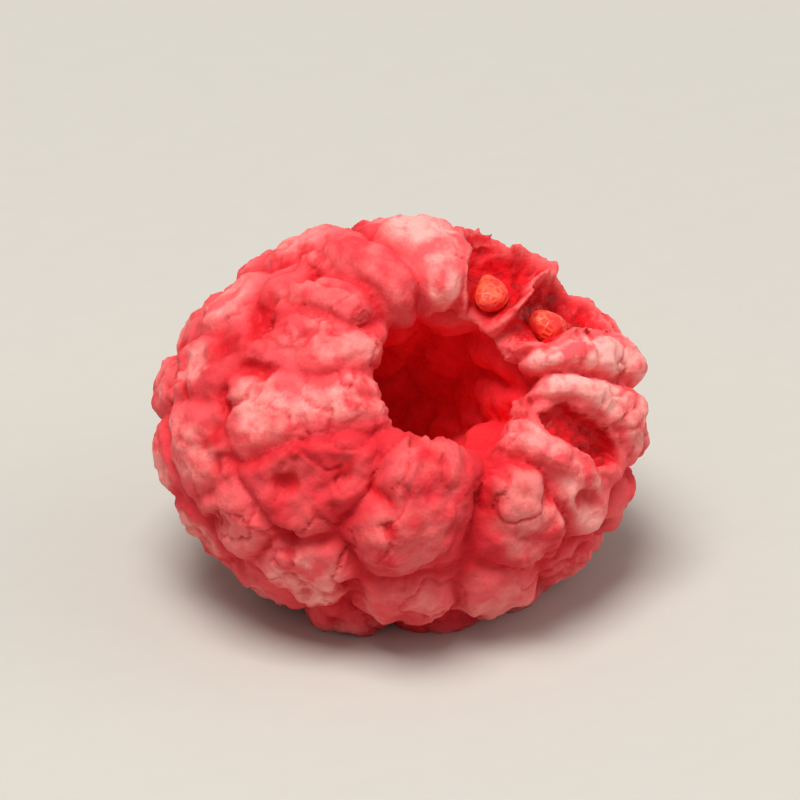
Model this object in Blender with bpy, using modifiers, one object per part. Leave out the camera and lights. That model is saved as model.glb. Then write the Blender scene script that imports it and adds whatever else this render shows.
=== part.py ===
"""A whole freeze-dried raspberry, lying with the open end of its hollow turned up to one side.

A raspberry grows as one piece: dozens of drupelets, small fruits that each hold a pip, joined side
by side around a core. The core stays on the plant when the berry is picked, so the picked berry is
a bumpy thimble. Freeze-drying keeps that shape and leaves it light and stiff. Here it is modelled as
a turned thimble, made a little wider than high, whose skin is pushed out into drupelets and pulled
in along the creases between them. Two drupelets beside each other broke open, and in each of them a
pip lies in its seat in the pulp.

The berry is shaped in millimetres with its axis on +Z and its mouth up, then tipped over onto its
side, pressed flat where it rests and scaled to metres. The origin is the centre of its footprint.
"""

import math
import random

import bpy
import numpy as np
from mathutils import Matrix, Vector

# The outside, without its drupelets.
HALF_WIDTH = 10.15
HALF_HEIGHT = 8.55
HALF_LENGTH = 7.9
BLUNTNESS = 2.3

# The hollow left by the core, a little off the middle, and the rounded lip around its mouth.
HOLLOW_RADIUS = 3.1
HOLLOW_TOP = 5.1
HOLLOW_DEPTH = 8.6
HOLLOW_BLUNTNESS = 2.6
HOLLOW_SHIFT = (0.3, 0.8)
LIP_RADIUS = 1.4

# How the berry lies: its axis leans this far from upright, and it is turned about that axis.
LEAN = math.radians(50)
ROLL = math.radians(-13.4)
PRESSED = 1.8

# Drupelets around the body, as rows of (latitude in degrees, how many).
BODY_ROWS = ((8, 17), (-14, 17), (-36, 14), (-58, 9), (-79, 4))
HOLLOW_ROWS = ((0.15, 8), (0.45, 7), (0.75, 5))
ROW_JITTER = 0.3
LATITUDE_JITTER = 1.5
BODY_HEIGHTS = (0.6, 1.15)
CLEAR_OF_RIM = 2.5
SEED = 11

# Skin relief. A drupelet lower than FULL_CREASE also has shallower creases around it.
CREST = 0.5
CREASE = 0.6
FULL_CREASE = 0.7
HOLLOW_RELIEF = 0.45
OPENED_DEPTH = 1.5
OPENED_WALL = 0.55

# The pips: half their length, width and thickness, how deep their middles lie below the skin, the
# clearance of the seats they lie in, and the degrees over which the skin's slant is measured there.
PIP_HALF_SIZES = (1.15, 0.78, 0.62)
PIP_DEPTH = 1.3
SEAT_CLEARANCE = 0.12
SEAT_STEP = 5

# Where each pip lies: degrees around the mouth, latitude, and how far it is turned on its flat side.
PIPS = (("upper_pip", 66, 52, 12), ("right_pip", 37, 46, -10))

# Mesh fineness.
TURN_STEPS = 96
ARC_STEPS = 28
SKIN_SPACING = 0.62
SOFTENING = 0.4
SOFTENING_TURNS = 2
PIP_SEGMENTS = 24
PIP_RINGS = 16

MILLIMETRE = 0.001
FLESH_COLOUR = (0.80, 0.105, 0.09, 1.0)
FLESH_ROUGHNESS = 0.8
PIP_COLOUR = (0.84, 0.12, 0.045, 1.0)
PIP_ROUGHNESS = 0.45


class Drupelet:
    """One drupelet: a line from start to end that its cell is built around, and its own height."""

    def __init__(self, start, end, height=1.0, opened=False):
        self.start = np.array(start)
        self.end = np.array(end)
        self.height = height
        self.opened = opened


def clear_scene():
    for obj in list(bpy.data.objects):
        bpy.data.objects.remove(obj, do_unlink=True)


def blunt_arc(angle, bluntness):
    """(cosine, sine) of a superellipse, whose sides are fuller the higher the bluntness."""
    power = 2 / bluntness
    cosine, sine = math.cos(angle), math.sin(angle)
    return abs(cosine) ** power, math.copysign(abs(sine) ** power, sine)


def outer_point(latitude):
    """(radius, height) on the thimble's outside at a latitude, before it is made oval."""
    across, along = blunt_arc(latitude, BLUNTNESS)
    return HALF_HEIGHT * across, HALF_LENGTH * along


def hollow_point(share):
    """(radius, height) on the hollow's wall, from its mouth at 0 to its floor at 1."""
    across, along = blunt_arc(share * math.pi / 2, HOLLOW_BLUNTNESS)
    return HOLLOW_RADIUS * across, HOLLOW_TOP - HOLLOW_DEPTH * along


def lip_join():
    """The latitude at which the lip's circle, standing on the hollow's wall, meets the outside."""
    latitudes = np.radians(np.linspace(30, 80, 200))
    inside = [outer_point(latitude)[0] for latitude in latitudes]
    reach = HOLLOW_RADIUS + LIP_RADIUS * (1 + np.cos(latitudes))
    return float(latitudes[np.argmin(np.abs(inside - reach))])


def thimble_profile():
    """The outline from the tip over the outside and the lip and down the hollow, as (radius, height)."""
    join = lip_join()
    outline = [outer_point(latitude) for latitude in np.linspace(-math.pi / 2, join, ARC_STEPS)]
    middle = HOLLOW_RADIUS + LIP_RADIUS
    top = outline[-1][1] - LIP_RADIUS * math.sin(join)
    for angle in np.linspace(join, math.pi, ARC_STEPS // 2)[1:-1]:
        outline.append((middle + LIP_RADIUS * math.cos(angle), top + LIP_RADIUS * math.sin(angle)))
    outline += [hollow_point(share) for share in np.linspace(0, 1, ARC_STEPS)]
    outline[0] = (0.0, outline[0][1])
    outline[-1] = (0.0, outline[-1][1])
    return outline


def made_oval(points):
    """The same points with x stretched outside, and the hollow shifted off the middle."""
    points = np.array(points, dtype=float)
    radius = np.hypot(points[..., 0], points[..., 1])
    share = np.clip((radius - HOLLOW_RADIUS) / (HALF_HEIGHT - HOLLOW_RADIUS), 0, 1)
    outside = share * share * (3 - 2 * share)
    points[..., 0] *= 1 + (HALF_WIDTH / HALF_HEIGHT - 1) * outside
    points[..., 0] += HOLLOW_SHIFT[0] * (1 - outside)
    points[..., 1] += HOLLOW_SHIFT[1] * (1 - outside)
    return points


def around(profile_point, angle):
    radius, height = profile_point
    return made_oval((radius * math.cos(angle), radius * math.sin(angle), height))


def rim_drupelet(angle, inner, outer, height, opened=False):
    """A long drupelet that lies across the rim at an angle, from one latitude to another."""
    turn = math.radians(angle)
    ends = [around(outer_point(math.radians(latitude)), turn) for latitude in (inner, outer)]
    return Drupelet(*ends, height, opened)


def rim_drupelets():
    """The drupelets around the mouth, no two alike, counter-clockwise from the right."""
    return [
        rim_drupelet(16, 62, 26, 1.2),
        rim_drupelet(38, 56, 26, 1.0, opened=True),
        rim_drupelet(66, 56, 28, 0.9, opened=True),
        rim_drupelet(97, 66, 36, 1.5),
        rim_drupelet(119, 64, 36, 1.3),
        rim_drupelet(142, 54, 44, 0.7),
        rim_drupelet(163, 66, 50, 0.35),
        rim_drupelet(189, 66, 44, 0.5),
        rim_drupelet(216, 52, 38, 0.95),
        rim_drupelet(254, 62, 38, 2.2),
        rim_drupelet(303, 54, 38, 1.2),
        rim_drupelet(328, 62, 36, 1.0),
        rim_drupelet(356, 62, 30, 1.2),
    ]


def body_drupelets(chance, rim):
    """Rows of drupelets from below the rim to the tip, each row set between those of the last."""
    made = []
    for row, (latitude, count) in enumerate(BODY_ROWS):
        for place in range(count):
            shift = place + 0.5 * (row % 2) + chance.uniform(-ROW_JITTER, ROW_JITTER) / 2
            lift = latitude + chance.uniform(-LATITUDE_JITTER, LATITUDE_JITTER)
            point = around(outer_point(math.radians(lift)), 2 * math.pi * shift / count)
            drupelet = Drupelet(point, point, chance.uniform(*BODY_HEIGHTS))
            if min(np.linalg.norm(point - other.end) for other in rim) > CLEAR_OF_RIM:
                made.append(drupelet)
    return made


def hollow_drupelets(chance):
    """The inner ends of the drupelets, which line the hollow as low bumps."""
    made = []
    for share, count in HOLLOW_ROWS:
        first = chance.uniform(0, 2 * math.pi)
        for place in range(count):
            point = around(hollow_point(share), first + 2 * math.pi * place / count)
            made.append(Drupelet(point, point, HOLLOW_RELIEF))
    return made


def distance_to(drupelet, points):
    """How far each point is from the drupelet's line."""
    along = drupelet.end - drupelet.start
    length = max(float(along @ along), 1e-9)
    share = np.clip((points - drupelet.start) @ along / length, 0, 1)
    return np.linalg.norm(points - drupelet.start - share[:, None] * along, axis=1)


def skin_relief(points, drupelets):
    """How far to push each point of the plain thimble out along its normal."""
    distances = np.array([distance_to(drupelet, points) for drupelet in drupelets])
    order = np.argsort(distances, axis=0)
    nearest, second = np.take_along_axis(distances, order[:2], axis=0)
    inwards = 1 - (second - nearest) / (second + nearest)
    dome = np.sqrt(1 - inwards * inwards)
    height = np.array([drupelet.height for drupelet in drupelets])[order[0]]
    opened = np.array([drupelet.opened for drupelet in drupelets])[order[0]]
    crease = CREASE * np.minimum(height / FULL_CREASE, 1)
    relief = dome * (crease + CREST * height) - crease
    cavity = np.clip((dome - OPENED_WALL) / (1 - OPENED_WALL), 0, 1) * opened
    return relief * (1 - cavity) - OPENED_DEPTH * cavity


def read_points(vectors, field):
    values = np.empty(len(vectors) * 3)
    vectors.foreach_get(field, values)
    return values.reshape(-1, 3)


def evaluated_mesh(obj):
    graph = bpy.context.evaluated_depsgraph_get()
    return bpy.data.meshes.new_from_object(obj.evaluated_get(graph), depsgraph=graph)


def turned_thimble():
    """The plain thimble, turned from its profile and made oval."""
    profile = [(radius, 0.0, height) for radius, height in thimble_profile()]
    outline = bpy.data.meshes.new("thimble")
    outline.from_pydata(profile, [(i, i + 1) for i in range(len(profile) - 1)], [])
    thimble = bpy.data.objects.new("thimble", outline)
    bpy.context.scene.collection.objects.link(thimble)
    screw = thimble.modifiers.new("turn", "SCREW")
    screw.steps = screw.render_steps = TURN_STEPS
    screw.use_merge_vertices = True
    screw.merge_threshold = 0.0001
    screw.use_normal_calculate = True
    thimble.data = evaluated_mesh(thimble)
    thimble.modifiers.remove(screw)
    oval = made_oval(read_points(thimble.data.vertices, "co"))
    thimble.data.vertices.foreach_set("co", oval.ravel())
    return thimble


def skin_mesh(drupelets):
    """The thimble with an even mesh, pushed out into its drupelets."""
    thimble = turned_thimble()
    even = thimble.modifiers.new("even skin", "REMESH")
    even.mode = "VOXEL"
    even.voxel_size = SKIN_SPACING
    skin = evaluated_mesh(thimble)
    bpy.data.objects.remove(thimble)
    points = read_points(skin.vertices, "co")
    normals = read_points(skin.vertex_normals, "vector")
    points += normals * skin_relief(points, drupelets)[:, None]
    skin.vertices.foreach_set("co", points.ravel())
    return skin


def lying_down(skin):
    """The move that tips the berry over, centres it and sinks it by the part that is pressed flat."""
    turned = Matrix.Rotation(LEAN, 4, "X") @ Matrix.Rotation(ROLL, 4, "Z")
    points = read_points(skin.vertices, "co") @ np.array(turned.to_3x3()).T
    low, high = points.min(axis=0), points.max(axis=0)
    middle = (low + high) / 2
    return Matrix.Translation((-middle[0], -middle[1], -low[2] - PRESSED)) @ turned


def material(name, colour, roughness):
    made = bpy.data.materials.new(name)
    made.use_nodes = True
    shader = made.node_tree.nodes["Principled BSDF"]
    shader.inputs["Base Color"].default_value = colour
    shader.inputs["Roughness"].default_value = roughness
    shader.inputs["Metallic"].default_value = 0.0
    return made


def collection(name):
    made = bpy.data.collections.new(name)
    bpy.context.scene.collection.children.link(made)
    return made


def moved_to(obj, target):
    for holder in list(obj.users_collection):
        holder.objects.unlink(obj)
    target.objects.link(obj)
    return obj


def resting_slab():
    """What the berry is pressed on: a slab whose top is the surface it rests on."""
    side = 4 * HALF_WIDTH * MILLIMETRE
    bpy.ops.mesh.primitive_cube_add(size=side, location=(0, 0, -side / 2))
    bpy.context.object.name = "resting_slab"
    return bpy.context.object


def pip_seat(angle, latitude, turn):
    """Where a pip lies in its drupelet: flat in the pulp, its length across the rim."""
    around_mouth = math.radians(angle)
    middle = around(outer_point(math.radians(latitude)), around_mouth)
    lower = around(outer_point(math.radians(latitude - SEAT_STEP)), around_mouth)
    beside = around(outer_point(math.radians(latitude)), around_mouth + math.radians(SEAT_STEP))
    length = Vector(lower - middle).normalized()
    outwards = length.cross(Vector(beside - middle)).normalized()
    axes = Matrix((length, outwards.cross(length), outwards)).transposed().to_4x4()
    place = Matrix.Translation(Vector(middle) - PIP_DEPTH * outwards)
    return place @ axes @ Matrix.Rotation(math.radians(turn), 4, "Z")


def egg_shape(name, place, margin=0.0):
    """A flattened egg the size of a pip, with a margin all round, at its place in the lying berry."""
    bpy.ops.mesh.primitive_uv_sphere_add(segments=PIP_SEGMENTS, ring_count=PIP_RINGS, radius=1)
    egg = bpy.context.object
    egg.name = name
    half_sizes = [(half + margin) * MILLIMETRE for half in PIP_HALF_SIZES]
    egg.data.transform(Matrix.Diagonal((*half_sizes, 1.0)))
    egg.data.shade_smooth()
    location, rotation, _ = place.decompose()
    egg.location = location * MILLIMETRE
    egg.rotation_mode = "QUATERNION"
    egg.rotation_quaternion = rotation
    return egg


def cut(obj, cutter, cutters):
    """Take the cutter's shape out of the object, and put the cutter away hidden."""
    moved_to(cutter, cutters)
    cutter.hide_render = True
    cutter.display_type = "WIRE"
    difference = obj.modifiers.new(cutter.name, "BOOLEAN")
    difference.operation = "DIFFERENCE"
    difference.solver = "EXACT"
    difference.object = cutter


def main():
    clear_scene()
    chance = random.Random(SEED)
    rim = rim_drupelets()
    skin = skin_mesh(rim + body_drupelets(chance, rim) + hollow_drupelets(chance))
    lying = lying_down(skin)
    skin.transform(Matrix.Scale(MILLIMETRE, 4) @ lying)
    skin.materials.append(material("freeze_dried_flesh", FLESH_COLOUR, FLESH_ROUGHNESS))
    skin.shade_smooth()
    berry = bpy.data.objects.new("raspberry", skin)
    kept = collection("raspberry")
    kept.objects.link(berry)
    soften = berry.modifiers.new("softened creases", "SMOOTH")
    soften.factor = SOFTENING
    soften.iterations = SOFTENING_TURNS
    cutters = collection("cutters")
    cut(berry, resting_slab(), cutters)
    seed_coat = material("pip", PIP_COLOUR, PIP_ROUGHNESS)
    for name, angle, latitude, turn in PIPS:
        place = lying @ pip_seat(angle, latitude, turn)
        cut(berry, egg_shape(name + "_seat", place, SEAT_CLEARANCE), cutters)
        pip = moved_to(egg_shape(name, place), kept)
        pip.data.materials.append(seed_coat)
        pip.parent = berry


main()
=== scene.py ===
# %% [markdown]
# # A freeze-dried raspberry
#
# A raspberry is dozens of small fruits, the drupelets, that grew side by side around a core. The
# core stays on the plant, so the picked berry is a bumpy thimble with an open hollow. Freeze-drying
# takes the water out while the berry is frozen: the shape stays, the skin turns matte and dusty,
# thin spots sink in and a few drupelets crack open and show the deep red pulp and the pip.
#
# The lesson goes from the plain thimble to the drupelets, then to dents, folds and pulp, and ends
# with the finish, the pips, the floor, the light and the camera.

# %% Load the frame and keep its box
import math
import random

import bmesh
import bpy
import numpy as np
from mathutils import Matrix, Vector, kdtree, noise


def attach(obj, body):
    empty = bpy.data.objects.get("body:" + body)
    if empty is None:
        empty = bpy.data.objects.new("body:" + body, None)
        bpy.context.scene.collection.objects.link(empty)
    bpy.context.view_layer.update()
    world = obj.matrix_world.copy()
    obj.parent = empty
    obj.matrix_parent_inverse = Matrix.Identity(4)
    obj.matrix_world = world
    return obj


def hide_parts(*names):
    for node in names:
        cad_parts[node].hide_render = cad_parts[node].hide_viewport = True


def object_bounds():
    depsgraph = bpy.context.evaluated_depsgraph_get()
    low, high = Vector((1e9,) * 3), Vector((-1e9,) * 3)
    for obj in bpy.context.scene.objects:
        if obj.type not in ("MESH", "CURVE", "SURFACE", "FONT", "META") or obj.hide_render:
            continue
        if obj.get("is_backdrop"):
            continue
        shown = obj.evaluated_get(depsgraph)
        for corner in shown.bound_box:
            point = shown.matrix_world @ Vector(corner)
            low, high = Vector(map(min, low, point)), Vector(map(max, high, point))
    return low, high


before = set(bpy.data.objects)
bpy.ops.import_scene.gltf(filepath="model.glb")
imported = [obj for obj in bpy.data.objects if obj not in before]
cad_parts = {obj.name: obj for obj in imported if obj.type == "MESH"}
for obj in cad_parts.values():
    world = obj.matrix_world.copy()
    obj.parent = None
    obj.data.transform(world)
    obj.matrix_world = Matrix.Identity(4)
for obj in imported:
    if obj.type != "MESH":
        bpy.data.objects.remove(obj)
MILLIMETRE = 0.001
cad_box = [np.array(corner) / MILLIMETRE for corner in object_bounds()]
cad_size = cad_box[1] - cad_box[0]
print("the frame holds", list(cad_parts), "in a box of", cad_size.round(2), "mm")

# %% [markdown]
# ## The plain thimble
#
# Without its drupelets the berry is a blunt egg with a hollow pushed into one end. Its outline is
# a superellipse outside, a second one for the hollow, and a circle that rounds the lip between
# them. A superellipse is a circle's sine and cosine raised to a power: above 2 its sides fill out.
# Everything is in millimetres here, because a berry is small and round numbers are easier to read.

# %% The thimble's outline
HALF_WIDTH, HALF_HEIGHT, HALF_LENGTH, BLUNTNESS = 10.15, 8.55, 7.9, 2.3
HOLLOW_RADIUS, HOLLOW_TOP, HOLLOW_DEPTH, HOLLOW_BLUNTNESS = 3.1, 5.1, 8.6, 2.6
HOLLOW_SHIFT = (0.3, 0.8)
LIP_RADIUS = 1.4
OUTLINE_STEPS = 60


def blunt_arc(angle, bluntness):
    power = 2 / bluntness
    cosine, sine = math.cos(angle), math.sin(angle)
    return abs(cosine) ** power, math.copysign(abs(sine) ** power, sine)


def outer_point(latitude):
    """(radius, height) on the outside, with the tip at -90 degrees and the mouth above 60."""
    across, along = blunt_arc(math.radians(latitude), BLUNTNESS)
    return HALF_HEIGHT * across, HALF_LENGTH * along


def hollow_point(share):
    """(radius, height) on the hollow's wall, from its mouth at 0 to its floor at 1."""
    across, along = blunt_arc(share * math.pi / 2, HOLLOW_BLUNTNESS)
    return HOLLOW_RADIUS * across, HOLLOW_TOP - HOLLOW_DEPTH * along


def lip_join():
    """The latitude at which the lip's circle, standing on the hollow's wall, meets the outside."""
    latitudes = np.linspace(30, 80, 400)
    outside = np.array([outer_point(latitude)[0] for latitude in latitudes])
    reach = HOLLOW_RADIUS + LIP_RADIUS * (1 + np.cos(np.radians(latitudes)))
    return latitudes[int(np.argmin(np.abs(outside - reach)))]


def thimble_outline():
    """The outline from the tip over the lip and down the hollow."""
    join = lip_join()
    outline = [outer_point(latitude) for latitude in np.linspace(-90, join, OUTLINE_STEPS)]
    turn = math.radians(join)
    middle = HOLLOW_RADIUS + LIP_RADIUS, outline[-1][1] - LIP_RADIUS * math.sin(turn)
    for angle in np.linspace(turn, math.pi, OUTLINE_STEPS // 2)[1:-1]:
        across, along = LIP_RADIUS * math.cos(angle), LIP_RADIUS * math.sin(angle)
        outline.append((middle[0] + across, middle[1] + along))
    outline += [hollow_point(share) for share in np.linspace(0, 1, OUTLINE_STEPS)]
    outline[0] = (0.0, outline[0][1])
    outline[-1] = (0.0, outline[-1][1])
    return outline


outline = thimble_outline()
print("outline of", len(outline), "points, lip at", round(max(height for _, height in outline), 2), "mm")

# %% [markdown]
# ## Wider than high
#
# The berry's outside is oval and its hollow is round and a little off the middle. A function that
# stretches x more and more on the way from the hollow's wall to the skin, and shifts the hollow less
# and less, gives both, and it serves every point made later.

# %% The oval stretch, and places on the skin
def made_oval(points):
    points = np.array(points, dtype=float)
    radius = np.hypot(points[..., 0], points[..., 1])
    outwards = np.clip((radius - HOLLOW_RADIUS) / (HALF_HEIGHT - HOLLOW_RADIUS), 0, 1)
    outwards = outwards * outwards * (3 - 2 * outwards)
    points[..., 0] *= 1 + (HALF_WIDTH / HALF_HEIGHT - 1) * outwards
    points[..., 0] += HOLLOW_SHIFT[0] * (1 - outwards)
    points[..., 1] += HOLLOW_SHIFT[1] * (1 - outwards)
    return points


def around(outline_point, degrees):
    """The outline's point turned about the berry's axis, counter-clockwise seen from the mouth."""
    radius, height = outline_point
    turn = math.radians(degrees)
    return made_oval((radius * math.cos(turn), radius * math.sin(turn), height))


print("widest point of the plain skin", around(outer_point(0), 0).round(2))

# %% [markdown]
# ## Drupelets as cells
#
# Drupelets press against each other while they grow, so the skin is divided like soap bubbles: each
# spot belongs to the drupelet it is nearest to, and the creases run where two are equally near.
# They could be modelled as dozens of balls, but balls joined later leave creases that are too sharp.
# A drupelet here is a short line rather than a point, because those on the rim are long and lie
# like petals around the mouth. Each has a height, a dent in its crown, a tint and a dusty bloom, and
# it may be opened by some share from 0 to 1. The bloom pales the crowns, partly as a painted
# highlight.

# %% The drupelet
class Drupelet:
    def __init__(self, start, end, height=1.0, dent=0.0, tint=0.5, opened=0.0, bloom=0.5):
        self.start = np.array(start)
        self.end = np.array(end)
        self.height = height
        self.dent = dent
        self.tint = tint
        self.opened = opened
        self.bloom = bloom


def rim_drupelet(degrees, inner=64, outer=33, **kind):
    """A drupelet that lies across the rim, from one latitude to another."""
    ends = [around(outer_point(latitude), degrees) for latitude in (inner, outer)]
    return Drupelet(*ends, **kind)


longest = rim_drupelet(0)
print("a rim drupelet is laid along", np.linalg.norm(longest.end - longest.start).round(2), "mm")

# %% [markdown]
# ## The rim, drupelet by drupelet
#
# The rim is what one sees first, so its drupelets are listed one by one, counter-clockwise from the
# right. Two beside each other cracked open wide and a narrow one split along its length. The left
# side dried flat, and one at the front swelled round and stands up before the mouth.

# %% The rim
# The bloom on these crowns is partly a painted highlight.
rim = [
    rim_drupelet(15, 66, 28, height=1.2, tint=1.0, bloom=1.6),
    rim_drupelet(37, 58, 26, height=1.0, opened=1.0, tint=0.3),
    rim_drupelet(66, 60, 30, height=0.9, opened=1.0, tint=0.3),
    rim_drupelet(95, 68, 36, height=1.5, tint=0.9, bloom=0.9),
    rim_drupelet(118, 64, 36, height=1.1, tint=0.4, bloom=0.3),
    rim_drupelet(142, 54, 44, height=0.6, tint=0.3, bloom=0.3),
    rim_drupelet(161, 68, 52, height=0.3, tint=0.6, bloom=0.6),
    rim_drupelet(188, 68, 44, height=0.45, tint=0.7, bloom=0.8),
    rim_drupelet(217, 50, 38, height=0.9, dent=0.5, tint=0.0, bloom=0.1),
    rim_drupelet(253, 64, 46, height=2.1, tint=0.0, bloom=0.25),
    rim_drupelet(304, 54, 40, height=1.1, tint=0.0, bloom=0.5),
    rim_drupelet(325, 64, 36, height=0.9, tint=0.8, bloom=0.9),
    rim_drupelet(341, 60, 44, height=0.6, opened=0.6, tint=0.3),
    rim_drupelet(357, 66, 30, height=1.1, tint=1.0, bloom=1.3),
]
print(len(rim), "drupelets on the rim")

# %% [markdown]
# ## The rest of the berry
#
# Below the rim the drupelets stand in rows around the body, each row set between the last one's,
# with a little disorder drawn from a seeded random source so that the berry is the same each run.
# Their inner ends line the hollow as low bumps.

# %% Rows of drupelets
BODY_ROWS = ((11, 15), (-12, 16), (-34, 14), (-57, 9), (-79, 4))
HOLLOW_ROWS = ((0.12, 10), (0.35, 9), (0.58, 8), (0.8, 5))
ROW_JITTER, LATITUDE_JITTER = 0.3, 1.5
chance = random.Random(11)
body, lining = [], []
for row, (latitude, count) in enumerate(BODY_ROWS):
    for place in range(count):
        shift = place + 0.5 * (row % 2) + chance.uniform(-ROW_JITTER, ROW_JITTER) / 2
        lift = latitude + chance.uniform(-LATITUDE_JITTER, LATITUDE_JITTER)
        point = around(outer_point(lift), 360 * shift / count)
        body.append(Drupelet(point, point, height=chance.uniform(0.6, 1.15)))
for share, count in HOLLOW_ROWS:
    first = chance.uniform(0, 360)
    for place in range(count):
        lift, turn = share + chance.uniform(-0.06, 0.06), place + chance.uniform(-0.3, 0.3)
        point = around(hollow_point(lift), first + 360 * turn / count)
        lining.append(Drupelet(point, point, height=chance.uniform(0.4, 0.9)))
CLEAR_OF_RIM = 2.5
body = [
    drupelet for drupelet in body
    if min(np.linalg.norm(drupelet.start - other.end) for other in rim) > CLEAR_OF_RIM
]
for drupelet in body:
    drupelet.dent = max(0.0, chance.uniform(-0.5, 0.7))
    drupelet.tint = chance.uniform(0.0, 1.0)
    drupelet.bloom = chance.uniform(0.2, 0.9)
drupelets = rim + body + lining
print(len(body), "on the body,", len(lining), "lining the hollow")

# %% [markdown]
# ## Noise in millimetres
#
# Grown and dried things are never quite regular. Blender's Perlin noise is read at each point with
# the point divided by the size of the lumps wanted, so each use says its real size in millimetres.

# %% Noise
def lumps(points, size, octaves=2, where=0.0):
    """Noise from about -1 to 1 whose largest lumps measure size millimetres."""
    scaled = (points / size + where).tolist()
    return np.array([noise.fractal(point, 1.0, 2.0, octaves) for point in scaled])


def folds(points, size, where):
    """Sharp-crested ridges, from 1 on their crests down to about -1."""
    return 1 - 2.5 * np.abs(lumps(points, size, 3, where))


def smooth_step(values, low, high):
    share = np.clip((values - low) / (high - low), 0, 1)
    return share * share * (3 - 2 * share)


sample = lumps(np.array([drupelet.start for drupelet in drupelets]), 5.0)
print("noise at the drupelets runs from", sample.min().round(2), "to", sample.max().round(2))

# %% [markdown]
# ## Reading the cells
#
# For every point of the skin this finds the two nearest drupelets. How much nearer the first one is
# than the second says how far the point lies from a crease: 0 in the crease, 1 on the crown. The
# points are first shifted by slow noise, so the creases wander instead of running straight.

# %% Nearest drupelets
WANDER, WANDER_SIZE = 0.42, 2.6


def distance_to(drupelet, points):
    along = drupelet.end - drupelet.start
    length = max(float(along @ along), 1e-9)
    share = np.clip((points - drupelet.start) @ along / length, 0, 1)
    return np.linalg.norm(points - drupelet.start - share[:, None] * along, axis=1)


def read_cells(points):
    """(nearest drupelet, second nearest, distance from the crease as a share) at each point."""
    wander = np.stack([lumps(points, WANDER_SIZE, 2, where) for where in (3.0, 17.0, 41.0)], axis=1)
    shifted = points + WANDER * wander
    distances = np.array([distance_to(drupelet, shifted) for drupelet in drupelets])
    first = distances.argmin(axis=0)
    column = np.arange(len(points))
    nearest = distances[first, column]
    distances[first, column] = np.inf
    second = distances.argmin(axis=0)
    further = distances[second, column]
    return first, second, (further - nearest) / (further + nearest)


def of_drupelets(name, cells):
    return np.array([getattr(drupelet, name) for drupelet in drupelets])[cells]


on_crown = read_cells(np.array([drupelet.start for drupelet in drupelets]))[2]
print("lines start", on_crown.mean().round(2), "of the way in from the creases, on average")

# %% [markdown]
# ## Dents and cracks
#
# Where a drupelet's skin was thin it sank in as it dried. Such a dent is a small oval hollow with a
# deep red floor and a frayed edge. The ones that show most are listed as (degrees, latitude, half its
# width across, half its length along, depth); the others are scattered over the body. A crack is a
# long thin dent.

# %% Dents
placed_dents = [
    (151, 33, 1.3, 0.6, 1.0),
    (133, 37, 0.8, 0.5, 0.8),
    (171, 38, 0.5, 0.9, 0.8),
    (180, 28, 1.0, 0.4, 0.7),
    (198, 22, 0.4, 1.0, 0.7),
    (214, 37, 0.5, 0.8, 0.8),
    (221, 52, 0.4, 0.9, 0.6),
    (229, 42, 0.35, 0.5, 0.6),
    (240, 52, 0.8, 0.4, 0.5),
    (270, 50, 0.6, 0.4, 0.6),
    (248, 47, 0.45, 0.4, 0.6),
    (213, 5, 0.5, 1.3, 0.8),
    (229, 24, 1.0, 0.6, 0.9),
    (250, 16, 0.9, 0.5, 0.7),
    (322, 40, 0.6, 0.7, 0.8),
    (302, 30, 0.4, 0.9, 0.7),
    (285, 54, 0.5, 1.1, 0.9),
    (324, 14, 0.9, 0.5, 0.7),
]
DENT_DEPTH, FRAY, FRAY_SIZE = 0.6, 0.42, 0.9
SCATTERED_DENTS = 48
scattered = random.Random(5)
dents = list(placed_dents)
for _ in range(SCATTERED_DENTS):
    latitude = math.degrees(math.asin(scattered.uniform(-0.98, 0.4)))
    width = scattered.uniform(0.3, 0.8)
    length = width * scattered.uniform(0.6, 1.7)
    dents.append((scattered.uniform(0, 360), latitude, width, length, 0.6 * width))


def read_dents(points):
    """(how deep the dents push in, how much of each spot is dent)."""
    depth = np.zeros(len(points))
    mask = np.zeros(len(points))
    fray = np.stack([lumps(points, FRAY_SIZE, 2, where) for where in (5.0, 29.0, 53.0)], axis=1)
    frayed = points + FRAY * fray
    for degrees, latitude, across, along, sunk in dents:
        middle = around(outer_point(latitude), degrees)
        up = around(outer_point(latitude + 1), degrees) - middle
        side = around(outer_point(latitude), degrees + 1) - middle
        up, side = up / np.linalg.norm(up), side / np.linalg.norm(side)
        offset = frayed - middle
        reach = np.hypot(offset @ side / across, offset @ up / along)
        reach = np.hypot(reach, (offset @ np.cross(side, up)) / 1.5)
        inside = 1 - smooth_step(reach, 0.3, 1.2)
        depth = np.maximum(depth, inside * sunk * DENT_DEPTH)
        mask = np.maximum(mask, inside)
    return depth, mask


print(len(dents), "dents, of them", len(placed_dents), "placed by hand")

# %% [markdown]
# ## From plain skin to relief
#
# A drupelet's profile rises steeply from the crease and flattens over the crown. Creases are deep in
# some places and nearly fused in others, and the left flank is calmer than the rest. Lumps and folds
# as large as a drupelet's half pucker the crowns. An opened drupelet keeps a thin torn wall at its
# edge, and inside it drops to the pulp. All amounts are in millimetres.

# %% Relief
CREST, CREASE, OPENED_DEPTH = 0.5, 0.75, 1.6
CROWN_DENT, PUCKER, FOLD, DEEPEST_CREASE = 0.6, 0.26, 0.16, 1.25


def edge_of_opened(cells, others, inwards):
    """1 along the torn wall around an opened drupelet, falling to 0 on both sides."""
    beside = np.maximum(of_drupelets("opened", cells), of_drupelets("opened", others))
    return beside * (1 - smooth_step(inwards, 0.03, 0.11))


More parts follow.
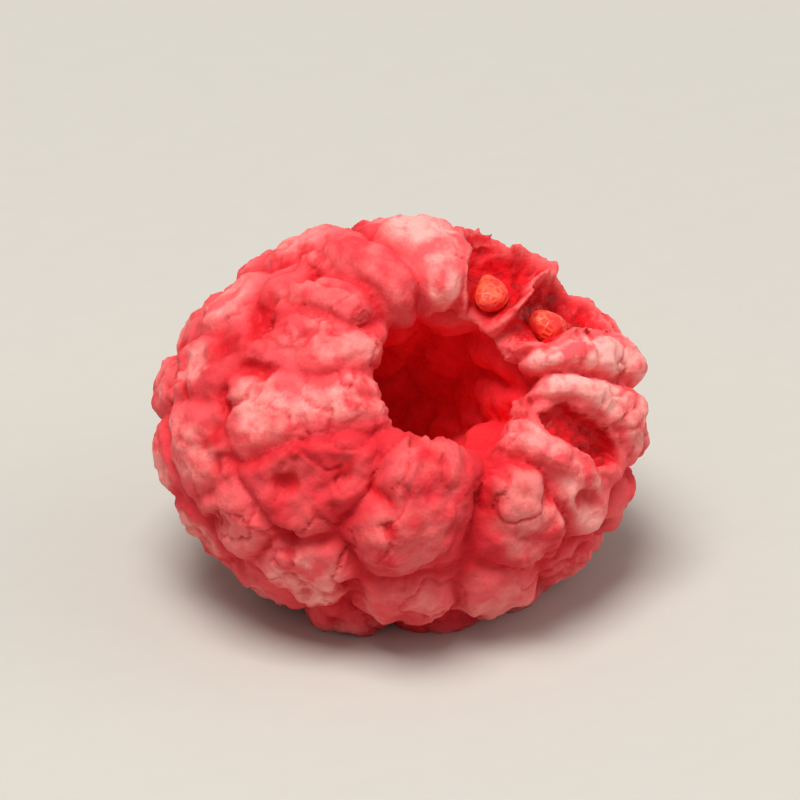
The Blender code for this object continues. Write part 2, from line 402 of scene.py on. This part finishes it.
def large_relief(points):
    """How far each point of the plain thimble moves out along its normal, in millimetres."""
    cells, others, inwards = read_cells(points)
    height = of_drupelets("height", cells)
    opened = of_drupelets("opened", cells)
    calm = 1 - 0.45 * smooth_step(-points[:, 0], 2.5, 7.0)
    fused = calm * np.clip(0.8 + 0.8 * lumps(points, 4.5, 2, 61.0), 0.2, 1.15)
    dome = (1 - (1 - np.clip(inwards * 1.1, 0, 1)) ** 2.3) ** 0.75
    crease = CREASE * fused * np.minimum(height * 1.4, 1)
    relief = dome * (crease + CREST * height * calm) - crease
    relief -= CROWN_DENT * of_drupelets("dent", cells) * smooth_step(inwards, 0.3, 0.75)
    relief += PUCKER * calm * lumps(points, 1.7, 3, 33.0)
    relief += FOLD * folds(points, 1.5, 47.0) * smooth_step(inwards, 0.05, 0.3)
    relief -= read_dents(points)[0]
    relief = np.maximum(relief, -DEEPEST_CREASE)
    torn = edge_of_opened(cells, others, inwards)
    relief = relief * (1 - torn) + (0.3 + 0.35 * lumps(points, 1.1, 2, 7.0)) * torn
    cavity = smooth_step(inwards, 0.05, 0.2) * opened
    return relief * (1 - cavity) - OPENED_DEPTH * cavity


rim_relief = large_relief(np.array([drupelet.start for drupelet in rim]))
print("rim drupelets stand out by", rim_relief.round(2), "mm")

# %% [markdown]
# ## Turning the outline into a skin
#
# The Screw modifier turns the outline into a closed thimble, and a voxel Remesh gives it an even
# mesh, fine enough to carry the relief. After the relief is in, a second Remesh evens out the walls
# that it stretched. Even spacing matters, because the folds that come last need points everywhere.

# %% Reading, writing and modifying a mesh
def read_values(items, field):
    values = np.empty(len(items) * 3)
    items.foreach_get(field, values)
    return values.reshape(-1, 3)


def points_of(mesh):
    return read_values(mesh.vertices, "co")


def normals_of(mesh):
    return read_values(mesh.vertex_normals, "vector")


def set_points(mesh, points):
    mesh.vertices.foreach_set("co", points.ravel())
    mesh.update()


def with_modifier(mesh, kind, **settings):
    """The mesh after one modifier."""
    carrier = bpy.data.objects.new("carrier", mesh)
    bpy.context.scene.collection.objects.link(carrier)
    modifier = carrier.modifiers.new(kind, kind)
    for name, value in settings.items():
        setattr(modifier, name, value)
    graph = bpy.context.evaluated_depsgraph_get()
    made = bpy.data.meshes.new_from_object(carrier.evaluated_get(graph), depsgraph=graph)
    bpy.data.objects.remove(carrier)
    return made


# %% [markdown]
# ## The thimble becomes a berry
#
# Here the steps run in order: turn, make oval, remesh, push along the normals, remesh again. The
# spacing is chosen to keep the skin under 200,000 triangles.

# %% The thimble, turned and pushed into drupelets
TURN_STEPS = 180
FIRST_SPACING = 0.17
SKIN_SPACING = 0.15
wire = bpy.data.meshes.new("outline")
wire.from_pydata(
    [(radius, 0.0, height) for radius, height in outline],
    [(i, i + 1) for i in range(len(outline) - 1)],
    [],
)
thimble = with_modifier(wire, "SCREW", steps=TURN_STEPS, render_steps=TURN_STEPS,
                        use_merge_vertices=True, merge_threshold=0.0001, use_normal_calculate=True)
set_points(thimble, made_oval(points_of(thimble)))
thimble = with_modifier(thimble, "REMESH", mode="VOXEL", voxel_size=FIRST_SPACING)
plain_points, plain_normals = points_of(thimble), normals_of(thimble)
relief = large_relief(plain_points)
set_points(thimble, plain_points + plain_normals * relief[:, None])
skin = with_modifier(thimble, "REMESH", mode="VOXEL", voxel_size=SKIN_SPACING)
print("skin of", len(skin.vertices), "points")
print("pushed by", relief.min().round(2), "to", relief.max().round(2), "mm")

# %% [markdown]
# ## Where each new point came from
#
# The second Remesh made new points, so the cells are read again for them. A k-d tree finds the old
# point next to each new one, and taking the old point's push back off gives its place on the plain
# thimble. That keeps the drupelets' tints and creases exactly where the relief put them.

# %% Back to the plain thimble
def plain_places(points):
    """(each point's place on the plain thimble, how far the relief had pushed it)."""
    tree = kdtree.KDTree(len(plain_points))
    pushed = plain_points + plain_normals * relief[:, None]
    for index, point in enumerate(pushed.tolist()):
        tree.insert(point, index)
    tree.balance()
    old = np.array([tree.find(point)[1] for point in points.tolist()])
    return points - plain_normals[old] * relief[old][:, None], relief[old]


skin_points = points_of(skin)
places, relief_there = plain_places(skin_points)
cells, others, inwards = read_cells(places)
dent_mask = read_dents(places)[1]
opened = of_drupelets("opened", cells)
in_hollow = np.array([drupelet in lining for drupelet in drupelets])[cells].astype(float)
print("share of the skin in the hollow", in_hollow.mean().round(2))
print("share of the skin in opened drupelets", (opened > 0).mean().round(2))

# %% [markdown]
# ## Folds, grain and pulp
#
# Dry skin puckers. Fine folds run over it, along the length of the petals on the rim and every way
# elsewhere, thin wrinkles cut into it in places, and a low grain covers all of it. In the opened
# drupelets the pulp dried to a coarse crumb. A bump map could draw these, but they are real relief of
# one or two tenths of a millimetre, so they stay crisp in any light.

# %% Fine folds and wrinkles
FINE_FOLD, GRAIN, WRINKLE_DEPTH, CRUMB, COARSE_CRUMB = 0.10, 0.05, 0.14, 0.16, 0.1
RIM_MIDDLE, PETAL_STRETCH = 5.5, 0.28
radius = np.hypot(places[:, 0], places[:, 1])
bearing = np.arctan2(places[:, 1], places[:, 0])
on_rim = smooth_step(places[:, 2], 2.5, 4.5) * (1 - in_hollow)
petal_axes = [bearing * RIM_MIDDLE, radius * PETAL_STRETCH, places[:, 2] * PETAL_STRETCH]
rim_folds = folds(np.stack(petal_axes, axis=1), 1.1, 11.0)
body_folds = folds(places + 0.3 * lumps(places, 1.5, 1, 9.0)[:, None], 1.3, 2.0)
skin_mask = (1 - opened) * (1 - 0.5 * in_hollow)
wandering = places + 0.5 * lumps(places, 2.0, 1, 31.0)[:, None]
wrinkles = smooth_step(folds(wandering, 2.1, 91.0), 0.72, 0.98)
wrinkles *= skin_mask * smooth_step(lumps(places, 3.5, 1, 37.0), -0.25, 0.15)
print("wrinkled share of the skin", wrinkles.mean().round(3))

# %% Fine relief
fine = FINE_FOLD * skin_mask * (on_rim * rim_folds + (1 - on_rim) * body_folds)
fine += GRAIN * lumps(places, 0.45, 2, 13.0) * skin_mask
fine -= WRINKLE_DEPTH * wrinkles
pulp_mask = np.sign(opened) * smooth_step(inwards, 0.05, 0.12)
crumb = CRUMB * lumps(skin_points, 0.5, 3, 19.0) + COARSE_CRUMB * lumps(skin_points, 1.2, 1, 23.0)
fine += pulp_mask * crumb
set_points(skin, skin_points + normals_of(skin) * fine[:, None])
print("fine relief from", fine.min().round(3), "to", fine.max().round(3), "mm")

# %% [markdown]
# ## What the finish needs to know
#
# The colour of a spot depends on where it is: crown or crease, dent, pulp or hollow. Each of these
# is stored on the mesh as a number at each point, and the material reads them by name. Painting a
# texture would need the skin unwrapped, and these numbers follow the relief exactly.

# %% Masks on the mesh
sunken = np.clip(-relief_there, 0, 1.2) / 1.2
masks = {
    "tint": np.clip(of_drupelets("tint", cells) + 0.5 * lumps(places, 2.4, 2, 71.0), 0, 1),
    # pale bloom on the crowns: dust, and partly a painted highlight
    "bloom": of_drupelets("bloom", cells) * smooth_step(inwards, 0.12, 0.5),
    # painted shade: a deeper red in the creases, the wrinkles and the deepest sunk places
    "crease_shade": 0.85 * np.maximum.reduce([
        (1 - smooth_step(inwards, 0.02, 0.26)) * smooth_step(sunken, 0.0, 0.3),
        smooth_step(sunken, 0.25, 0.8),
        0.7 * wrinkles,
    ]),
    "dent": 0.9 * dent_mask * (1 - opened),
    "hollow": 0.9 * in_hollow * smooth_step(-places[:, 2], -5.6, -4.2),
    "torn": 0.75 * edge_of_opened(cells, others, inwards),
    "pulp": pulp_mask,
}


def store_mask(mesh, name, values):
    layer = mesh.attributes.new(name, "FLOAT", "POINT")
    layer.data.foreach_set("value", np.asarray(values, dtype=np.float32))


for name, values in masks.items():
    store_mask(skin, name, values)
print("masks:", ", ".join(masks))

# %% [markdown]
# ## Lying down
#
# The berry lies with its mouth turned up to one side, pressed flat on a few drupelets. It is
# rotated, centred in the frame's box and brought to exactly that size, then a slab takes off what
# would reach below the surface.

# %% Pose and size
LEAN, ROLL, PRESSED = math.radians(50), math.radians(-13.4), 1.8
turned = Matrix.Rotation(LEAN, 4, "X") @ Matrix.Rotation(ROLL, 4, "Z")
skin.transform(turned)
posed = points_of(skin)
low, high = posed.min(axis=0), posed.max(axis=0)
low[2] += PRESSED
fitted = cad_size / (high - low)
offset = np.array([*(cad_box[0][:2] - low[:2] * fitted[:2]), -low[2] * fitted[2]])
fit = Matrix.Translation(offset) @ Matrix.Diagonal((*fitted, 1.0))
skin.transform(fit)
berry_place = Matrix.Scale(MILLIMETRE, 4) @ fit @ turned
print("fitted to the frame by", fitted.round(3))

# %% Flat underside
SLAB_SIZE = 60
slab_box = bmesh.new()
bmesh.ops.create_cube(slab_box, size=SLAB_SIZE, matrix=Matrix.Translation((0, 0, -SLAB_SIZE / 2)))
slab_mesh = bpy.data.meshes.new("slab")
slab_box.to_mesh(slab_mesh)
slab_box.free()
slab = bpy.data.objects.new("slab", slab_mesh)
bpy.context.scene.collection.objects.link(slab)
skin = with_modifier(skin, "BOOLEAN", operation="DIFFERENCE", object=slab, solver="MANIFOLD")
bpy.data.objects.remove(slab)
skin.transform(Matrix.Scale(MILLIMETRE, 4))
skin.shade_smooth()
berry = bpy.data.objects.new("raspberry_skin", skin)
bpy.context.scene.collection.objects.link(berry)
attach(berry, "root")
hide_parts("raspberry")
skin.calc_loop_triangles()
print("skin of", len(skin.loop_triangles), "triangles")

# %% [markdown]
# ## Colours and nodes
#
# Colours are written as sRGB hex, as a designer would note them. The shader works in linear light,
# so one function turns them over. A second one adds a node, sets it and links it, whatever its kind.

# %% Colour and node helpers
def colour(hex_code, alpha=1.0):
    parts = [int(hex_code[i:i + 2], 16) / 255 for i in (1, 3, 5)]
    linear = [c / 12.92 if c <= 0.04045 else ((c + 0.055) / 1.055) ** 2.4 for c in parts]
    return (*linear, alpha)


def add_node(tree, kind, settings=(), links=()):
    """A node with its settings and sockets set and its inputs linked."""
    node = tree.nodes.new(kind)
    for name, value in dict(settings).items():
        if isinstance(name, str) and hasattr(node, name):
            setattr(node, name, value)
        else:
            node.inputs[name].default_value = value
    for name, source in dict(links).items():
        tree.links.new(source, node.inputs[name])
    return node


def new_material(name):
    material = bpy.data.materials.new(name)
    material.use_nodes = True
    return material, material.node_tree, material.node_tree.nodes["Principled BSDF"]


print("a middle raspberry red in linear light:", np.round(colour("#e04048")[:3], 3))

# %% [markdown]
# ## The skin of a freeze-dried raspberry
#
# Freeze-dried skin is full of tiny pores that scatter light, so it looks paler and duller than
# fresh fruit: matte, a little fuzzy at grazing angles, with a dusty bloom on the crowns. That pale
# bloom is partly a painted highlight. Where it sank or tore the red beneath shows clearer, deeper and
# slightly glossier, and the creases, the wrinkles and the deepest sunk places get a deeper red as
# painted shade. The finish starts from two reds that differ from drupelet to drupelet, and lays one
# colour after another over them. Each layer is a mask, a noise, the part of the noise that counts,
# and a colour. The noises are given as their size in millimetres and their detail: blotches as wide
# as half a drupelet, mottling, and pores. Real pores are finer, about 0.05 mm, and are drawn coarser
# so that they show.

# %% The skin's noises and layers
skin_noises = {"blotch": (1.9, 4.0), "mottle": (0.5, 3.0), "pore": (0.16, 2.0)}
RIPE_RED, PALE_RED = "#d62a35", "#f15a5e"
DUSTY_ROUGHNESS, BARE_ROUGHNESS = 0.78, 0.45
skin_layers = [
    # the bloom's pale pink on the crowns, partly a painted highlight
    ("bloom", "blotch", 0.4, 0.6, "#fea79f"),
    # painted shade in the creases, the wrinkles and the deepest sunk places
    ("crease_shade", None, 0.0, 1.0, "#cf1422"),
    ("dent", None, 0.0, 1.0, "#cf0f1d"),
    ("hollow", None, 0.0, 1.0, "#fc2430"),
    ("torn", "mottle", 0.35, 0.55, "#f5706c"),
    ("pulp", None, 0.0, 1.0, "#d80c18"),
    ("pulp", "mottle", 0.5, 0.64, "#98060f"),
    (None, "mottle", 0.56, 0.74, "#e22f38"),
]
print(len(skin_layers), "layers of colour over two reds")


# %% Skin material
def skin_material():
    material, tree, shader = new_material("freeze_dried_raspberry_skin")
    places = add_node(tree, "ShaderNodeTexCoord").outputs["Object"]
    noises = {}
    for name, (size, detail) in skin_noises.items():
        grain = {"Scale": 1 / (size * MILLIMETRE), "Detail": detail, "Roughness": 0.6}
        made = add_node(tree, "ShaderNodeTexNoise", grain, {"Vector": places})
        noises[name] = made.outputs["Fac"]
    read = {
        name: add_node(tree, "ShaderNodeAttribute", {"attribute_name": name}).outputs["Fac"]
        for name in masks
    }
    reds = {"data_type": "RGBA", 6: colour(RIPE_RED), 7: colour(PALE_RED)}
    tone = add_node(tree, "ShaderNodeMix", reds, {0: read["tint"]}).outputs[2]
    for mask, noise_name, low, high, laid in skin_layers:
        share = read.get(mask)
        if noise_name:
            spread = {"From Min": low, "From Max": high, "To Max": 1.0 if mask else 0.45}
            share = add_node(tree, "ShaderNodeMapRange", spread, {"Value": noises[noise_name]}).outputs[0]
        if noise_name and mask:
            both = {0: share, 1: read[mask]}
            share = add_node(tree, "ShaderNodeMath", {"operation": "MULTIPLY"}, both).outputs[0]
        layer = {"data_type": "RGBA", 7: colour(laid)}
        tone = add_node(tree, "ShaderNodeMix", layer, {0: share, 6: tone}).outputs[2]
    tree.links.new(tone, shader.inputs["Base Color"])
    bare = add_node(tree, "ShaderNodeMath", {"operation": "MAXIMUM"}, {0: read["pulp"], 1: read["dent"]})
    dull = {"To Min": DUSTY_ROUGHNESS, "To Max": BARE_ROUGHNESS}
    roughness = add_node(tree, "ShaderNodeMapRange", dull, {"Value": bare.outputs[0]})
    tree.links.new(roughness.outputs["Result"], shader.inputs["Roughness"])
    pores = add_node(tree, "ShaderNodeBump", {"Strength": 0.5, "Distance": 0.06 * MILLIMETRE},
                     {"Height": noises["pore"]})
    puckers = add_node(tree, "ShaderNodeBump", {"Strength": 0.6, "Distance": 0.14 * MILLIMETRE},
                       {"Height": noises["mottle"], "Normal": pores.outputs["Normal"]})
    tree.links.new(puckers.outputs["Normal"], shader.inputs["Normal"])
    flesh = {
        "IOR": 1.45, "Specular IOR Level": 0.22, "Subsurface Weight": 0.22,
        "Subsurface Radius": (1.0, 0.25, 0.15), "Subsurface Scale": 0.9 * MILLIMETRE,
        "Sheen Weight": 0.04, "Sheen Roughness": 0.5, "Sheen Tint": colour("#ffc9c0"),
    }
    for name, value in flesh.items():
        shader.inputs[name].default_value = value
    return material


skin.materials.clear()
skin.materials.append(skin_material())
print("skin finished with", skin.materials[0].name)

# %% [markdown]
# ## Pips
#
# Each opened drupelet shows its pip: a hard kidney-shaped seed about two millimetres long with a
# netted surface, straw-coloured and stained orange-red by the juice. A sphere is squeezed to that
# shape and bent, and the net comes from Voronoi cells: the borders between cells stand up as ridges
# and the cells sink in as pits.

# %% Pip shape
PIP_HALF_LENGTH, PIP_HALF_WIDTH, PIP_HALF_THICKNESS = 1.15, 0.7, 0.6
PIT_SIZE, PIT_DEPTH = 0.34, 0.035


def pip_mesh(name, seed):
    ball = bmesh.new()
    bmesh.ops.create_icosphere(ball, subdivisions=6, radius=1)
    mesh = bpy.data.meshes.new(name)
    ball.to_mesh(mesh)
    ball.free()
    round_points = points_of(mesh)
    shaped = round_points * [PIP_HALF_LENGTH, PIP_HALF_WIDTH, PIP_HALF_THICKNESS]
    shaped[:, 1:] *= (1 - 0.28 * round_points[:, 0])[:, None]
    shaped[:, 1] += 0.25 * round_points[:, 0] ** 2 - 0.1
    looked_up = [noise.voronoi((point / PIT_SIZE + seed).tolist())[0] for point in shaped]
    ridge = np.array([distances[1] - distances[0] for distances in looked_up])
    pit = smooth_step(ridge, 0.02, 0.4)
    shaped -= round_points * (PIT_DEPTH * pit)[:, None]
    set_points(mesh, shaped)
    store_mask(mesh, "pit", pit)
    mesh.shade_smooth()
    return mesh


# %% [markdown]
# ## Where the pips lie
#
# A pip lies flat in the pulp with its length across the rim, about half sunk. Its place is worked out
# on the plain thimble and then moved with the berry, so it stays in its drupelet.

# %% Pips in their drupelets
def place_pip(name, degrees, latitude, sunk, turn, seed):
    """A pip lying in an opened drupelet, its length across the rim."""
    middle = around(outer_point(latitude), degrees)
    length = Vector(around(outer_point(latitude - 5), degrees) - middle).normalized()
    beside = Vector(around(outer_point(latitude), degrees + 5) - middle)
    outwards = length.cross(beside).normalized()
    axes = Matrix((length, outwards.cross(length), outwards)).transposed().to_4x4()
    mesh = pip_mesh(name, seed)
    seat = Matrix.Translation(Vector(middle) - outwards * sunk)
    mesh.transform(berry_place @ seat @ axes @ Matrix.Rotation(math.radians(turn), 4, "Z"))
    pip = bpy.data.objects.new(name + "_seed", mesh)
    bpy.context.scene.collection.objects.link(pip)
    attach(pip, "root")
    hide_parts(name)
    return pip


pips = [
    place_pip("upper_pip", 66, 52, 1.2, 12, 3.7),
    place_pip("right_pip", 37, 46, 1.15, -10, 8.2),
]
print("pips of", len(pips[0].data.polygons), "triangles each")


# %% [markdown]
# ## The seed coat
#
# A raspberry pip is woody and hard, with a skin like a plum stone's. It is smoother than the flesh, so
# it has a soft highlight. The ridges of its net are lighter than its pits, and dried juice stains it
# in patches of about 0.8 mm.

# %% Pip material
JUICE_STAIN = 0.8


def pip_material():
    material, tree, shader = new_material("dried_raspberry_seed_coat")
    pit = add_node(tree, "ShaderNodeAttribute", {"attribute_name": "pit"}).outputs["Fac"]
    places = add_node(tree, "ShaderNodeTexCoord").outputs["Object"]
    patches = {"Scale": 1 / (JUICE_STAIN * MILLIMETRE), "Detail": 3.0}
    juice = add_node(tree, "ShaderNodeTexNoise", patches, {"Vector": places})
    stained = add_node(tree, "ShaderNodeMapRange", {"From Min": 0.42, "From Max": 0.62},
                       {"Value": juice.outputs["Fac"]})
    net = {"data_type": "RGBA", 6: colour("#fb6646"), 7: colour("#ea4230")}
    coat = add_node(tree, "ShaderNodeMix", net, {0: pit}).outputs[2]
    red = add_node(tree, "ShaderNodeMix", {"data_type": "RGBA", 7: colour("#ea2a26")},
                   {0: stained.outputs["Result"], 6: coat}).outputs[2]
    tree.links.new(red, shader.inputs["Base Color"])
    shader.inputs["Roughness"].default_value = 0.42
    shader.inputs["IOR"].default_value = 1.5
    shader.inputs["Subsurface Weight"].default_value = 0.15
    shader.inputs["Subsurface Scale"].default_value = 0.5 * MILLIMETRE
    return material


seed_coat = pip_material()
for pip in pips:
    pip.data.materials.append(seed_coat)
print(len(pips), "pips finished with", seed_coat.name)

# %% [markdown]
# ## The floor and the backdrop
#
# The berry lies on one sheet of pale paper that sweeps up behind it, the way a product is shown. The
# paper is uncoated and pressed smooth, so it is matte, with fibres about a millimetre long. It is
# staging and no part of the berry.

# %% Paper sweep
def sweep_sheet():
    """A flat sheet that curves up into a backdrop."""
    near, far, rise, bend = -0.5, 0.35, 0.9, 0.3
    outline = [(near, 0.0)]
    for step in range(25):
        angle = math.radians(90 * step / 24)
        outline.append((far + bend * math.sin(angle), bend * (1 - math.cos(angle))))
    outline.append((far + bend, rise))
    sheet = bmesh.new()
    rows = [[sheet.verts.new((x, y, z)) for y, z in outline] for x in (-1.2, 1.2)]
    for i in range(len(outline) - 1):
        sheet.faces.new((rows[0][i], rows[1][i], rows[1][i + 1], rows[0][i + 1]))
    mesh = bpy.data.meshes.new("paper_sweep")
    sheet.to_mesh(mesh)
    sheet.free()
    mesh.shade_smooth()
    return bpy.data.objects.new("paper_sweep", mesh)


paper, paper_tree, paper_shader = new_material("pale_paper")
fibre = add_node(paper_tree, "ShaderNodeTexNoise", {"Scale": 1 / (0.9 * MILLIMETRE), "Detail": 3.0})
paper_tones = {"data_type": "RGBA", 6: colour("#bdbab2"), 7: colour("#c0bdb5")}
paper_tone = add_node(paper_tree, "ShaderNodeMix", paper_tones, {0: fibre.outputs["Fac"]})
paper_tree.links.new(paper_tone.outputs[2], paper_shader.inputs["Base Color"])
paper_shader.inputs["Roughness"].default_value = 0.9
floor = sweep_sheet()
floor.data.materials.append(paper)
bpy.context.scene.collection.objects.link(floor)
floor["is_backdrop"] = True
print("paper sweep of", len(floor.data.polygons), "faces")

# %% [markdown]
# ## Light
#
# A wide soft light above and to the left, a weak fill from the right and an even pale room. Matte
# fruit needs no more: the creases and the hollow darken on their own.

# %% Lights
def soft_light(name, place, size, power, tone):
    lamp = bpy.data.lights.new(name, "AREA")
    lamp.size = size
    lamp.energy = power
    lamp.color = colour(tone)[:3]
    holder = bpy.data.objects.new(name, lamp)
    holder.location = place
    holder.rotation_euler = (Vector((0, 0, 0.008)) - Vector(place)).to_track_quat("-Z", "Y").to_euler()
    bpy.context.scene.collection.objects.link(holder)


soft_light("key_softbox", (-0.12, -0.10, 0.59), 0.28, 4.2, "#fffdfb")
soft_light("fill_softbox", (0.50, -0.25, 0.40), 0.5, 0.9, "#fffaf8")
room = bpy.data.worlds.new("pale_room")
room.use_nodes = True
room.node_tree.nodes["Background"].inputs["Color"].default_value = colour("#f6f6f6")
room.node_tree.nodes["Background"].inputs["Strength"].default_value = 0.36
bpy.context.scene.world = room
bpy.context.scene.view_settings.view_transform = "Standard"
print("lights:", ", ".join(lamp.name for lamp in bpy.data.lights))

# %% [markdown]
# ## Camera
#
# The camera looks down at about thirty degrees from a little left of the mouth, through a long lens
# so that the small berry isn't distorted.

# %% Camera
AZIMUTH, ELEVATION, DISTANCE, LENS = math.radians(-23), math.radians(30), 0.40, 430
level = Vector((math.sin(AZIMUTH), -math.cos(AZIMUTH), 0))
towards = level * math.cos(ELEVATION) + Vector((0, 0, math.sin(ELEVATION)))
eye = bpy.data.cameras.new("camera")
eye.lens = LENS
camera = bpy.data.objects.new("camera", eye)
aim = Vector((0, 0, 0.5 * cad_size[2] * MILLIMETRE))
camera.location = aim + towards * DISTANCE
camera.rotation_euler = (-towards).to_track_quat("-Z", "Y").to_euler()
bpy.context.scene.collection.objects.link(camera)
bpy.context.scene.camera = camera
print("camera at", np.round(np.array(camera.location), 3), "m")

# %% [markdown]
# ## Sizes
#
# Last, the box of the frame and the box of the finished berry are printed one after the other.

# %% Print the sizes and finish
shown_box = [list(corner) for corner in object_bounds()]
frame_box = [[float(value) * MILLIMETRE for value in corner] for corner in cad_box]
for name, box in (("frame", frame_box), ("berry", shown_box)):
    print(name, np.round(np.array(box) / MILLIMETRE, 2).tolist())
